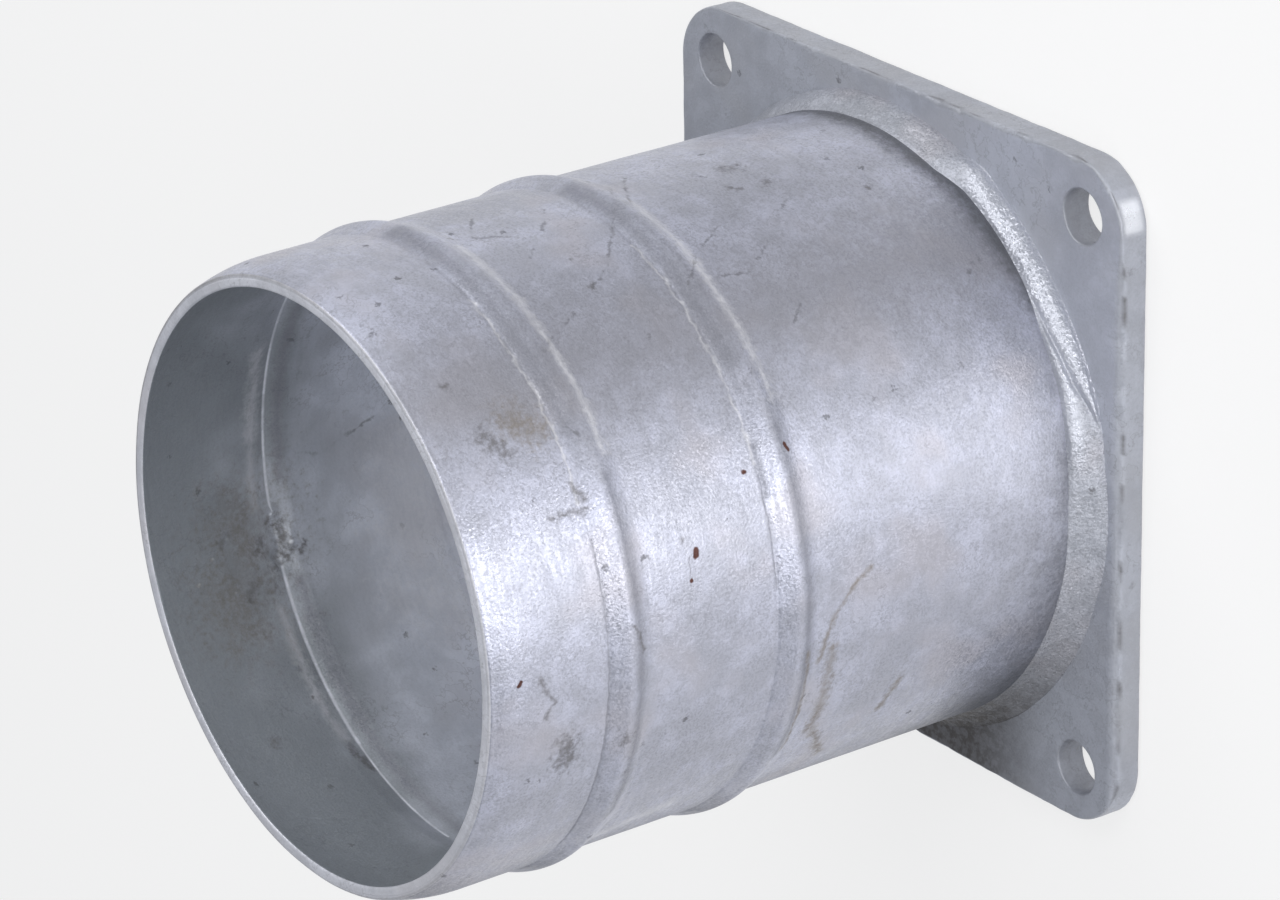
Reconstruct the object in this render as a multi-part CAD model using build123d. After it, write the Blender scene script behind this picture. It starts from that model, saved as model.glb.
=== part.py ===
"""Hose spigot flange: a square plate, a beaded tube let into it and the fillet weld that joins them.

The back face of the plate lies on z = 0 with the tube's axis on Z, and the tube's mouth is at the top.
All sizes are in millimetres.
"""

from build123d import *

import os
from math import atan2, cos, hypot, sqrt, tan

# Tube
TUBE_DIAMETER = 153.0
TUBE_WALL = 3.0
OVERALL_LENGTH = 180.0

# Nose turned in at the mouth
NOSE_LENGTH = 13.0
NOSE_RADIUS = 37.5
MOUTH_OUTER_ROUND = 1.0
MOUTH_INNER_ROUND = 0.6

# Ribs pressed out of the tube from inside. The rise is to the sharp point, before the crest is rounded.
FIRST_BEAD_FROM_MOUTH = 36.8
BEAD_SPACING = 47.2
BEAD_HALF_WIDTH = 5.8
BEAD_RISE = 2.1
GROOVE_RADIUS = 1.0
FOOT_RADIUS = 1.5

# Flange plate
PLATE_MARGIN = 8.5
PLATE_THICKNESS = 8.0
CORNER_RADIUS = 16.0
EDGE_ROUND = 0.8
HOLE_DIAMETER = 13.5
HOLE_INSET = 14.0

# Joint between the tube and the plate
FIT_UP_CLEARANCE = 0.25
WELD_LEG_ON_PLATE = 5.0
WELD_LEG_ON_TUBE = 7.0
WELD_CROWN = 0.7

# Sizes that follow from the ones above
OUTER_RADIUS = TUBE_DIAMETER / 2
INNER_RADIUS = OUTER_RADIUS - TUBE_WALL
NOSE_START = OVERALL_LENGTH - NOSE_LENGTH
NOSE_CENTRE_RADIUS = OUTER_RADIUS - NOSE_RADIUS
INNER_NOSE_RADIUS = NOSE_RADIUS - TUBE_WALL
FIRST_BEAD = OVERALL_LENGTH - FIRST_BEAD_FROM_MOUTH
BEAD_CRESTS = (FIRST_BEAD - BEAD_SPACING, FIRST_BEAD)
BEAD_SLOPE = atan2(BEAD_RISE, BEAD_HALF_WIDTH)
INNER_BEAD_HALF_WIDTH = BEAD_HALF_WIDTH - TUBE_WALL * tan(BEAD_SLOPE / 2)
INNER_BEAD_RADIUS = OUTER_RADIUS + BEAD_RISE - TUBE_WALL / cos(BEAD_SLOPE)
CREST_RADIUS = GROOVE_RADIUS + TUBE_WALL
INNER_FOOT_RADIUS = FOOT_RADIUS + TUBE_WALL
PLATE_SIDE = TUBE_DIAMETER + 2 * PLATE_MARGIN
HOLE_SPACING = PLATE_SIDE - 2 * HOLE_INSET
PLATE_BORE_RADIUS = OUTER_RADIUS + FIT_UP_CLEARANCE


def profile_vertex(point):
    """A (radius, height) pair as a point of the XZ plane."""
    radius, height = point
    return Vector(radius, 0, height)


def line(start, end):
    """Straight edge of a profile between two (radius, height) pairs."""
    return Line(profile_vertex(start), profile_vertex(end))


def arc(start, middle, end):
    """Round edge of a profile through three (radius, height) pairs."""
    return ThreePointArc(profile_vertex(start), profile_vertex(middle), profile_vertex(end))


def nose_point(arc_radius, height):
    """Point of a nose arc at a height, as a (radius, height) pair."""
    rise = height - NOSE_START
    return (NOSE_CENTRE_RADIUS + sqrt(arc_radius**2 - rise**2), height)


def bead_corners(wall_radius, crest_radius, crest_height, half_width):
    """The sharp corners of one rib on one side of the wall: foot, crest, foot."""
    return [
        (wall_radius, crest_height - half_width),
        (crest_radius, crest_height),
        (wall_radius, crest_height + half_width),
    ]


def round_corners(face, corners):
    """Round the corners of a flat profile, given as pairs of a (radius, height) pair and a rounding."""
    for (radius, height), rounding in corners:
        nearest = min(face.vertices(), key=lambda v: hypot(v.X - radius, v.Z - height))
        face = face.fillet_2d(rounding, [nearest])
    return face


def build_plate():
    """Square plate with rounded corners, four bolt holes and the opening for the tube."""
    with BuildPart() as plate:
        with BuildSketch():
            RectangleRounded(PLATE_SIDE, PLATE_SIDE, CORNER_RADIUS)
        extrude(amount=PLATE_THICKNESS)
        for flat_face in (plate.faces().sort_by(Axis.Z)[0], plate.faces().sort_by(Axis.Z)[-1]):
            fillet(flat_face.edges(), EDGE_ROUND)
        with BuildSketch():
            Circle(PLATE_BORE_RADIUS)
            with GridLocations(HOLE_SPACING, HOLE_SPACING, 2, 2):
                Circle(HOLE_DIAMETER / 2)
        extrude(amount=PLATE_THICKNESS, mode=Mode.SUBTRACT)
    return plate.part


def build_tube():
    """Tube with its ribs and its turned-in nose, turned from one wall profile."""
    outer = [(OUTER_RADIUS, 0.0)]
    inner = [(INNER_RADIUS, 0.0)]
    roundings = []
    for crest in BEAD_CRESTS:
        outer_bead = bead_corners(OUTER_RADIUS, OUTER_RADIUS + BEAD_RISE, crest, BEAD_HALF_WIDTH)
        inner_bead = bead_corners(INNER_RADIUS, INNER_BEAD_RADIUS, crest, INNER_BEAD_HALF_WIDTH)
        outer += outer_bead
        inner += inner_bead
        roundings += zip(outer_bead, (FOOT_RADIUS, CREST_RADIUS, FOOT_RADIUS))
        roundings += zip(inner_bead, (INNER_FOOT_RADIUS, GROOVE_RADIUS, INNER_FOOT_RADIUS))
    outer.append((OUTER_RADIUS, NOSE_START))
    inner.append((INNER_RADIUS, NOSE_START))

    nose_middle = (NOSE_START + OVERALL_LENGTH) / 2
    outer_end = nose_point(NOSE_RADIUS, OVERALL_LENGTH)
    inner_end = nose_point(INNER_NOSE_RADIUS, OVERALL_LENGTH)
    roundings += [(outer_end, MOUTH_OUTER_ROUND), (inner_end, MOUTH_INNER_ROUND)]

    edges = [line(start, end) for start, end in zip(outer, outer[1:])]
    edges.append(arc(outer[-1], nose_point(NOSE_RADIUS, nose_middle), outer_end))
    edges.append(line(outer_end, inner_end))
    edges.append(arc(inner_end, nose_point(INNER_NOSE_RADIUS, nose_middle), inner[-1]))
    inner.reverse()
    edges += [line(start, end) for start, end in zip(inner, inner[1:])]
    edges.append(line(inner[-1], outer[0]))
    return revolve(round_corners(Face(Wire(edges)), roundings), Axis.Z)


def build_weld():
    """Fillet weld: a crowned ring in the corner between the tube and the plate's front face."""
    root = (OUTER_RADIUS, PLATE_THICKNESS)
    plate_toe = (OUTER_RADIUS + WELD_LEG_ON_PLATE, PLATE_THICKNESS)
    tube_toe = (OUTER_RADIUS, PLATE_THICKNESS + WELD_LEG_ON_TUBE)
    face_width = hypot(WELD_LEG_ON_PLATE, WELD_LEG_ON_TUBE)
    crown = (
        OUTER_RADIUS + WELD_LEG_ON_PLATE / 2 + WELD_CROWN * WELD_LEG_ON_TUBE / face_width,
        PLATE_THICKNESS + WELD_LEG_ON_TUBE / 2 + WELD_CROWN * WELD_LEG_ON_PLATE / face_width,
    )
    edges = [line(root, plate_toe), arc(plate_toe, crown, tube_toe), line(tube_toe, root)]
    return revolve(Face(Wire(edges)), Axis.Z)


os.makedirs("parts", exist_ok=True)
export_step(build_plate(), "parts/flange_plate.step")
export_step(build_tube(), "parts/spigot_tube.step")
export_step(build_weld(), "parts/flange_weld.step")
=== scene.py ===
"""Studio scene of a galvanised hose spigot flange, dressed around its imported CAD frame.

The beaded tube, the square plate and the fillet weld between them are surfaces
worked out as whole arrays, with the zinc's lumps, runs and burrs in the mesh.
Lengths in the classes are millimetres, angles are degrees about the tube's axis
from +X towards +Y, and meshes are in metres in the part's own frame.
"""

import logging
import math
from dataclasses import dataclass, replace
from enum import Enum

import bpy
import numpy as np
from mathutils import Matrix, Vector
from mathutils.geometry import delaunay_2d_cdt


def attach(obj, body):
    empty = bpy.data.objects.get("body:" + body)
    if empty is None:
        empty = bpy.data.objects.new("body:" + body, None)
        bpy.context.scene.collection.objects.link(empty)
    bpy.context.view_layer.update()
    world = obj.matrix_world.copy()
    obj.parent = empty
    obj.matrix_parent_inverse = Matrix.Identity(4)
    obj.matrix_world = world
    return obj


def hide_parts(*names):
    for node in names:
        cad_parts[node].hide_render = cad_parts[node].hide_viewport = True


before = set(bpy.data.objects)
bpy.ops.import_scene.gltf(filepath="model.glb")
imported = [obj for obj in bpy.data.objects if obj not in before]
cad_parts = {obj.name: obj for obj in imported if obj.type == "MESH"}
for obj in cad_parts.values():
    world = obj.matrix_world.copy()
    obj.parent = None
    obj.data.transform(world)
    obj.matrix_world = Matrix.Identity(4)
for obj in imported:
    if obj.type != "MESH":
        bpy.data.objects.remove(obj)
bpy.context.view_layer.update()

log = logging.getLogger("spigot_flange")

MM = 0.001
TURN = 2.0 * math.pi
BODY = "root"
WRAP_MAP = "wrap"
POLISH_AND_HIGHLIGHT = "polish_and_highlight"
DIRT_AND_SHADE = "dirt_and_shade"
MARK_MARGIN = 3.0
GRAIN_HEIGHT = 0.0004
SHINE_METAL = 0.22
SHINE_POLISH = 0.1
BROKEN_ROUGH = 0.2

# Cells to the metre in each of the zinc's patterns.
CLOUD_CELLS = 38.0
PIT_CELLS = 150.0
PATCH_CELLS = 170.0
STRAY_CELLS = 260.0
DIRT_AND_SHADE_CELLS = 420.0
TORN_CELLS = 650.0
STREAK_CELLS = 900.0
GRAIN_CELLS = 1500.0
CRYSTAL_CELLS = 2200.0

Colour = tuple[float, float, float, float]
Triple = tuple[float, float, float]
Span = tuple[float, float]
Spans = tuple[Span, Span]
Socket = bpy.types.NodeSocket
Path = tuple[tuple[float, float], ...]

WHITE: Colour = (1.0, 1.0, 1.0, 1.0)
SPECK_COLOUR: Colour = (0.08, 0.08, 0.09, 1.0)
VEIN_COLOUR: Colour = (0.12, 0.115, 0.12, 1.0)
PIT_COLOUR: Colour = (0.11, 0.11, 0.115, 1.0)
DIRT_AND_SHADE_COLOUR: Colour = (0.085, 0.078, 0.073, 1.0)


def soft_noise(u: np.ndarray, v: np.ndarray, cells: tuple[int, int], seed: int) -> np.ndarray:
    """Value noise: random heights on a lattice, joined by a smooth step.

    Args:
        u: place in turns, which closes on itself at each whole number.
        v: place from 0 to 1, held at its ends.
        cells: lattice cells along u and v.
        seed: fixes the random heights.

    Returns:
        Heights from -1 to 1, in the shape of u and v together.
    """
    heights = np.random.default_rng(seed).uniform(-1.0, 1.0, (cells[0], cells[1] + 2))
    across = np.mod(u, 1.0) * cells[0]
    along = np.clip(v, 0.0, 1.0) * cells[1]
    i = np.floor(across).astype(int) % cells[0]
    j = np.floor(along).astype(int)
    a = across - np.floor(across)
    b = along - np.floor(along)
    a = a * a * (3.0 - 2.0 * a)
    b = b * b * (3.0 - 2.0 * b)
    k = (i + 1) % cells[0]
    low = heights[i, j] * (1.0 - a) + heights[k, j] * a
    high = heights[i, j + 1] * (1.0 - a) + heights[k, j + 1] * a
    return low * (1.0 - b) + high * b


def bell(distance: np.ndarray, width: float | np.ndarray) -> np.ndarray:
    """A smooth hump: exp(-(distance / width) squared)."""
    return np.exp(-np.square(distance / width))


def step_up(x: np.ndarray, low: float, high: float) -> np.ndarray:
    """A smooth step from 0 at low to 1 at high: 3t^2 - 2t^3."""
    t = np.clip((x - low) / (high - low), 0.0, 1.0)
    return t * t * (3.0 - 2.0 * t)


def plateau(x: np.ndarray, up: Span, down: Span) -> np.ndarray:
    """1 between two smooth steps, up over one span and down over another."""
    return step_up(x, *up) * (1.0 - step_up(x, *down))


def angle_gap(theta: np.ndarray, centre: float) -> np.ndarray:
    """Signed degrees from a centre angle, from -180 to 180."""
    return np.mod(theta - centre + 180.0, 360.0) - 180.0


def ring_faces(rows: int, columns: int, closed: bool) -> np.ndarray:
    """Quads of a grid whose columns close into rings.

    Args:
        rows: rings in the grid.
        columns: points in each ring.
        closed: whether the last ring joins the first.

    Returns:
        Corner indices, four to a face, turning to the outside.
    """
    i, j = np.meshgrid(np.arange(rows if closed else rows - 1), np.arange(columns), indexing="ij")
    up = (i + 1) % rows
    right = (j + 1) % columns
    corners = (i * columns + j, i * columns + right, up * columns + right, up * columns + j)
    return np.stack(corners, -1).reshape(-1, 4)


def loop_normals(points: np.ndarray) -> np.ndarray:
    """Unit normals to the right of a closed loop of 2-D points, by central differences."""
    run = np.roll(points, -1, 0) - np.roll(points, 1, 0)
    run /= np.linalg.norm(run, axis=1, keepdims=True)
    return np.column_stack((run[:, 1], -run[:, 0]))


def spun(profile_r: np.ndarray, profile_z: np.ndarray, theta: np.ndarray) -> np.ndarray:
    """Points of a profile carried round the axis, row by row, from arrays of r and z in millimetres."""
    x = profile_r * np.cos(theta)
    y = profile_r * np.sin(theta)
    z = np.broadcast_to(profile_z, x.shape)
    return np.stack((x, y, z), -1).reshape(-1, 3) * MM


def new_piece(name: str, points: np.ndarray, faces: list[list[int]]) -> bpy.types.Object:
    """Puts a finished mesh in the scene as one smooth-shaded piece.

    Args:
        name: the piece's name.
        points: vertex places in metres.
        faces: corner indices of each face.

    Returns:
        The new object, at the origin.
    """
    mesh = bpy.data.meshes.new(name)
    mesh.from_pydata(points.tolist(), [], faces)
    mesh.polygons.foreach_set("use_smooth", np.ones(len(mesh.polygons), dtype=bool))
    mesh.update()
    piece = bpy.data.objects.new(name, mesh)
    bpy.context.scene.collection.objects.link(piece)
    return piece


def store_values(piece: bpy.types.Object, name: str, values: np.ndarray) -> None:
    """Keeps one number for each vertex as a named attribute."""
    store = piece.data.attributes.new(name, "FLOAT", "POINT")
    store.data.foreach_set("value", np.asarray(values, dtype=np.float32).ravel())


def enter(piece: bpy.types.Object, node: str) -> None:
    """Says which CAD node a piece stands for and what carries it."""
    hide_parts(node)
    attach(piece, BODY)
    log.info("%s: %d faces, for node %s", piece.name, len(piece.data.polygons), node)


@dataclass(frozen=True)
class Wave:
    """One layer of soft noise: its height, the cells of its lattice and the seed of its draws."""

    height: float
    cells: tuple[int, int]
    seed: int

    def at(self, u: np.ndarray, v: np.ndarray) -> np.ndarray:
        """The layer's values at places in turns and from 0 to 1."""
        return self.height * soft_noise(u, v, self.cells, self.seed)


def layered(waves: tuple[Wave, ...], u: np.ndarray, v: np.ndarray) -> np.ndarray:
    """Several layers of noise on top of each other."""
    return sum(wave.at(u, v) for wave in waves)


class NodeDesk:
    """Short calls that add, set and join nodes of one material."""

    def __init__(self, tree: bpy.types.NodeTree) -> None:
        """Keeps the node tree that the calls add to."""
        self.tree = tree

    def add(self, kind: str, **settings: object) -> bpy.types.Node:
        """Adds a node and sets its options by name."""
        node = self.tree.nodes.new(kind)
        for name, value in settings.items():
            setattr(node, name, value)
        return node

    def feed(self, socket: Socket, value: object) -> None:
        """Links a socket to another, or sets it to a plain value."""
        if isinstance(value, bpy.types.NodeSocket):
            self.tree.links.new(value, socket)
        else:
            socket.default_value = value

    def math(self, operation: str, first: object, second: object = 0.0, held: bool = False) -> Socket:
        """A Math node's result, held from 0 to 1 if asked."""
        node = self.add("ShaderNodeMath", operation=operation, use_clamp=held)
        self.feed(node.inputs[0], first)
        self.feed(node.inputs[1], second)
        return node.outputs[0]

    def times(self, first: object, second: object) -> Socket:
        """Two numbers multiplied."""
        return self.math("MULTIPLY", first, second)

    def plus(self, first: object, second: object) -> Socket:
        """Two numbers added."""
        return self.math("ADD", first, second)

    def vector(self, operation: str, first: object, second: object = (0.0, 0.0, 0.0)) -> Socket:
        """A Vector Math node's result, its number for lengths and dot products."""
        node = self.add("ShaderNodeVectorMath", operation=operation)
        self.feed(node.inputs[0], first)
        self.feed(node.inputs[3 if operation == "SCALE" else 1], second)
        return node.outputs[1 if operation in ("LENGTH", "DISTANCE", "DOT_PRODUCT") else 0]

    def split(self, value: Socket, kind: str = "ShaderNodeSeparateColor") -> bpy.types.NodeOutputs:
        """The three parts of a colour, or of a vector with the other kind of node."""
        node = self.add(kind)
        self.feed(node.inputs[0], value)
        return node.outputs

    def span(self, value: Socket, low: float, high: float, start: float = 0.0, end: float = 1.0) -> Socket:
        """A number carried smoothly from one range to another and held at its ends."""
        node = self.add("ShaderNodeMapRange", interpolation_type="SMOOTHSTEP", clamp=True)
        for socket, number in zip(node.inputs, (value, low, high, start, end)):
            self.feed(socket, number)
        return node.outputs[0]

    def noise(self, at: Socket, scale: float, detail: float, roughness: float = 0.5,
              coloured: bool = False) -> Socket:
        """A noise texture's value, or its three values as a colour, with scale in cells to the metre."""
        node = self.add("ShaderNodeTexNoise")
        self.feed(node.inputs["Vector"], at)
        for name, number in (("Scale", scale), ("Detail", detail), ("Roughness", roughness)):
            node.inputs[name].default_value = number
        return node.outputs[1 if coloured else 0]

    def cells(self, at: Socket, scale: float) -> bpy.types.Node:
        """A Voronoi texture, with scale in cells to the metre."""
        node = self.add("ShaderNodeTexVoronoi")
        self.feed(node.inputs["Vector"], at)
        node.inputs["Scale"].default_value = scale
        return node

    def blend(self, share: object, first: object, second: object) -> Socket:
        """Two colours mixed by a share."""
        node = self.add("ShaderNodeMix", data_type="RGBA")
        for index, value in ((0, share), (6, first), (7, second)):
            self.feed(node.inputs[index], value)
        return node.outputs[2]


class MarkKind(Enum):
    """What has marked the zinc, and the painted shade and painted highlights that are laid on it like marks.
    """

    RUST = "rust"
    STAIN = "stain"
    SCUFF = "scuff"
    SCRATCH = "scratch"
    SHADE = "shade"
    CRUST = "crust"
    PALE = "pale"
    GLINT = "glint"
    DIM_SHADE = "dim_shade"
    BROAD_SHADE = "broad_shade"


@dataclass(frozen=True)
class Tone:
    """How one kind of mark changes the zinc: its fade and torn edge in half widths, its drift in metres."""

    colour: Colour
    strength: float
    fade: float
    torn: float
    drift: float = 0.0
    gaps: float = 0.0


TONES = {
    # The broad band and the dim shade are painted shade, and so are the shade marks, with some dross by the
    # weld; pale marks are partly pale zinc and partly painted highlight and reflection; glints are painted
    # highlights; rust, stains, crust, scuffs and scratches are the zinc's own.
    MarkKind.BROAD_SHADE: Tone((0.28, 0.28, 0.31, 1.0), 0.65, 1.0, 0.8, 0.004),
    MarkKind.DIM_SHADE: Tone((0.2, 0.205, 0.235, 1.0), 0.6, 1.1, 0.5, 0.001),
    MarkKind.SHADE: Tone((0.105, 0.11, 0.122, 1.0), 0.82, 1.0, 0.5, 0.004),
    MarkKind.PALE: Tone((0.76, 0.76, 0.79, 1.0), 0.6, 1.2, 1.6, 0.003, 0.3),
    MarkKind.STAIN: Tone((0.25, 0.222, 0.192, 1.0), 0.75, 1.2, 1.9, 0.002, 0.25),
    MarkKind.CRUST: Tone((0.225, 0.21, 0.195, 1.0), 0.72, 1.3, 2.4, 0.006, 0.5),
    MarkKind.SCUFF: Tone((0.17, 0.165, 0.17, 1.0), 0.8, 1.2, 2.4, 0.003, 0.3),
    MarkKind.SCRATCH: Tone((0.14, 0.14, 0.15, 1.0), 0.56, 1.1, 3.0, 0.0016, 0.9),
    MarkKind.RUST: Tone((0.085, 0.026, 0.015, 1.0), 0.95, 0.5, 0.9, 0.001),
    MarkKind.GLINT: Tone((0.92, 0.94, 0.99, 1.0), 0.9, 0.9, 0.6, 0.0, 0.3),
}


@dataclass(frozen=True)
class Mark:
    """A mark along a path of (angle, height) points; one point is a spot."""

    kind: MarkKind
    width: float
    path: Path


def marks_of(kind: MarkKind, *runs: tuple[float, Path]) -> tuple[Mark, ...]:
    """Marks of one kind, from their widths and paths."""
    return tuple(Mark(kind, width, path) for width, path in runs)


@dataclass(frozen=True)
class ZincFinish:
    """Hot-dip zinc: mottled blue-grey metal with fine crystals, veins, pits and placed marks, some of them
    painted shade and highlights.
    """

    name: str
    light: Colour = (0.525, 0.54, 0.64, 1.0)
    dark: Colour = (0.415, 0.425, 0.492, 1.0)
    warm: Colour = (0.46, 0.447, 0.492, 1.0)
    rough_low: float = 0.3
    rough_high: float = 0.52
    metal: float = 0.75
    grain_depth: float = 0.22
    facet: float = 0.11
    vein: float = 0.25
    grit: float = 0.2
    marks: tuple[Mark, ...] = ()
    radius: float = 0.0
    # Painted shade that darkens the zinc towards the bore's mouth, the heights it spans and how much it
    # wavers.
    dim_shade: Colour | None = None
    dim_shade_span: Span = (0.105, 0.165)
    dim_shade_waver: float = 0.07
    # Painted highlight: the colour laid where the piece's polish and highlight attribute is high.
    painted_highlight: Colour | None = None
    # Colour for dirt, and for the painted shadow and shade that share its attribute.
    dirt_and_shade: Colour | None = None

    def between(self, low: float, high: float) -> "ZincFinish":
        """The same finish with only the marks that reach between two heights."""
        near = []
        for mark in self.marks:
            heights = [height for _, height in mark.path]
            reach = mark.width + MARK_MARGIN
            if min(heights) - reach < high and max(heights) + reach > low:
                near.append(mark)
        return replace(self, name=f"{self.name}_{low:.0f}", marks=tuple(near))

    def material(self) -> bpy.types.Material:
        """Builds the finish as shader nodes on Object coordinates and the piece's wrap map.

        Returns:
            The new material.
        """
        made = bpy.data.materials.new(self.name)
        made.use_nodes = True
        desk = NodeDesk(made.node_tree)
        shader = made.node_tree.nodes["Principled BSDF"].inputs
        at = desk.add("ShaderNodeTexCoord").outputs["Object"]
        broad, cloud = desk.split(desk.noise(at, CLOUD_CELLS, 2.0, 0.6, True))[:2]
        patchy = desk.noise(at, PATCH_CELLS, 3.0, 0.65)
        grain = desk.noise(at, GRAIN_CELLS, 1.0)
        crystals = desk.cells(at, CRYSTAL_CELLS)
        tint, gloss = desk.split(crystals.outputs["Color"])[:2]

        # The mottle, with painted shade that darkens it up the bore, towards the mouth, where the finish
        # says so.
        mottle = desk.plus(desk.times(broad, 0.55), desk.times(patchy, 0.45))
        colour = desk.blend(desk.span(mottle, 0.38, 0.62), self.dark, self.light)
        colour = desk.blend(desk.span(cloud, 0.5, 0.68, 0.0, 0.6), colour, self.warm)
        if self.dim_shade:
            height = desk.split(at, "ShaderNodeSeparateXYZ")[2]
            height = desk.plus(height, desk.times(desk.math("SUBTRACT", cloud, 0.5), self.dim_shade_waver))
            colour = desk.blend(desk.span(height, *self.dim_shade_span), colour, self.dim_shade)

        # Dark specks between the crystals and thin veins along the patches' borders.
        speck = desk.plus(desk.times(grain, 0.6), desk.times(tint, 0.22))
        speck = desk.span(speck, 0.28, 0.46, self.grit, 0.0)
        colour = desk.blend(desk.times(speck, desk.span(cloud, 0.62, 0.42, 0.3, 1.0)), colour, SPECK_COLOUR)
        lines = desk.math("ABSOLUTE", desk.math("SUBTRACT", patchy, 0.5))
        lines = desk.span(lines, 0.0, 0.022, self.vein, 0.0)
        colour = desk.blend(desk.times(lines, desk.span(broad, 0.44, 0.6)), colour, VEIN_COLOUR)

        # Painted highlight on the shinier runs, scattered pits, and dirt that also carries painted shadow
        # and shade, then the marks.
        polish_and_highlight: object = 0.0
        metal: object = self.metal
        if self.painted_highlight:
            polish_and_highlight = desk.add("ShaderNodeAttribute", attribute_name=POLISH_AND_HIGHLIGHT).outputs["Fac"]
            metal = desk.plus(desk.times(polish_and_highlight, SHINE_METAL), self.metal)
            colour = desk.blend(polish_and_highlight, colour, self.painted_highlight)
        pits = desk.cells(at, PIT_CELLS)
        chance = desk.split(pits.outputs["Color"])[0]
        reach = desk.plus(pits.outputs["Distance"], desk.times(grain, 0.3))
        broken = desk.times(desk.span(reach, 0.32, 0.2), desk.span(chance, 0.72, 0.9))
        colour = desk.blend(desk.times(broken, 0.6), colour, PIT_COLOUR)
        if self.dirt_and_shade:
            dirt_and_shade_amount = desk.add("ShaderNodeAttribute", attribute_name=DIRT_AND_SHADE).outputs["Fac"]
            uneven = desk.span(desk.noise(at, DIRT_AND_SHADE_CELLS, 2.0, 0.7), 0.4, 0.6, 0.8, 1.0)
            colour = desk.blend(desk.times(dirt_and_shade_amount, uneven), colour, self.dirt_and_shade)
        rough = desk.plus(desk.times(patchy, 0.5), desk.times(gloss, 0.5))
        if self.radius:
            wrap = desk.add("ShaderNodeUVMap", uv_map=WRAP_MAP).outputs[0]
            streak = desk.noise(desk.vector("MULTIPLY", wrap, (0.12, 1.0, 0.0)), STREAK_CELLS, 1.0)
            rough = desk.plus(rough, desk.math("SUBTRACT", streak, 0.5))
            colour, broken = self.marked(desk, at, wrap, patchy, colour, broken)
        rough = desk.span(rough, 0.2, 0.8, self.rough_low, self.rough_high)
        rough = desk.plus(rough, desk.times(broken, BROKEN_ROUGH))

        # Each crystal leans its own way under a fine grain.
        lean = desk.vector("SUBTRACT", crystals.outputs["Color"], (0.5, 0.5, 0.5))
        facing = desk.add("ShaderNodeNewGeometry").outputs["Normal"]
        tilt = desk.span(cloud, 0.36, 0.64, 0.4 * self.facet, 1.4 * self.facet)
        facing = desk.vector("ADD", facing, desk.vector("SCALE", lean, tilt))
        bump = desk.add("ShaderNodeBump")
        bump.inputs["Strength"].default_value = self.grain_depth
        bump.inputs["Distance"].default_value = GRAIN_HEIGHT
        desk.feed(bump.inputs["Height"], grain)
        desk.feed(bump.inputs["Normal"], desk.vector("NORMALIZE", facing))
        desk.feed(shader["Base Color"], colour)
        desk.feed(shader["Metallic"], metal)
        desk.feed(shader["Roughness"], desk.math("SUBTRACT", rough, desk.times(polish_and_highlight, SHINE_POLISH)))
        desk.feed(shader["Normal"], bump.outputs[0])
        return made

    def marked(self, desk: NodeDesk, at: Socket, wrap: Socket, patchy: Socket, colour: Socket,
               broken: Socket) -> tuple[Socket, Socket]:
        """Lays the placed marks over the zinc, kind by kind: the zinc's own marks, painted shade and painted
        highlights.

        Args:
            desk: where nodes are added.
            at: Object coordinates.
            wrap: the wrap map's coordinates.
            patchy: the noise that opens gaps in the marks.
            colour: the zinc's colour so far.
            broken: how far the zinc is broken so far.

        Returns:
            The colour and the broken share with the marks in.
        """
        stray = desk.vector("SUBTRACT", desk.noise(at, STRAY_CELLS, 2.0, 0.5, True), (0.5, 0.5, 0.5))
        torn = desk.math("SUBTRACT", desk.noise(at, TORN_CELLS, 2.0, 0.65), 0.5)
        for kind, tone in TONES.items():
            marks = [mark for mark in self.marks if mark.kind is kind]
            if not marks:
                continue
            place = wrap
            if tone.drift:
                drift = desk.vector("MULTIPLY", stray, (tone.drift, tone.drift, 0.0))
                place = desk.vector("ADD", wrap, drift)
            far = self.nearest(desk, [self.stroke(desk, place, mark) for mark in marks])
            edge = desk.plus(far, desk.times(torn, tone.torn))
            share = desk.span(edge, 1.0, 1.0 - tone.fade, 0.0, tone.strength)
            if tone.gaps:
                share = desk.times(share, desk.span(patchy, 0.42, 0.56, 1.0 - tone.gaps, 1.0))
            colour = desk.blend(share, colour, tone.colour)
            broken = desk.math("MAXIMUM", broken, share)
        return colour, broken

    @staticmethod
    def nearest(desk: NodeDesk, distances: list[Socket]) -> Socket:
        """The least of several distances."""
        least = distances[0]
        for distance in distances[1:]:
            least = desk.math("MINIMUM", least, distance)
        return least

    def stroke(self, desk: NodeDesk, place: Socket, mark: Mark) -> Socket:
        """Distance from a mark in half widths: to the nearest point between the ends of its runs."""
        ends = [
            Vector((math.radians(angle) * self.radius * MM, height * MM, 0.0)) for angle, height in mark.path
        ]
        runs = []
        for start, end in zip(ends, ends[1:] or ends):
            off = desk.vector("SUBTRACT", place, start)
            run = end - start
            if run.length == 0.0:
                runs.append(desk.vector("LENGTH", off))
                continue
            along = desk.math("ADD", desk.vector("DOT_PRODUCT", off, run / run.length_squared), 0.0, True)
            foot = desk.add("ShaderNodeVectorMath", operation="SCALE")
            foot.inputs[0].default_value = run
            desk.feed(foot.inputs["Scale"], along)
            runs.append(desk.vector("DISTANCE", off, foot.outputs[0]))
        return desk.math("DIVIDE", self.nearest(desk, runs), 0.5 * mark.width * MM)


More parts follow.
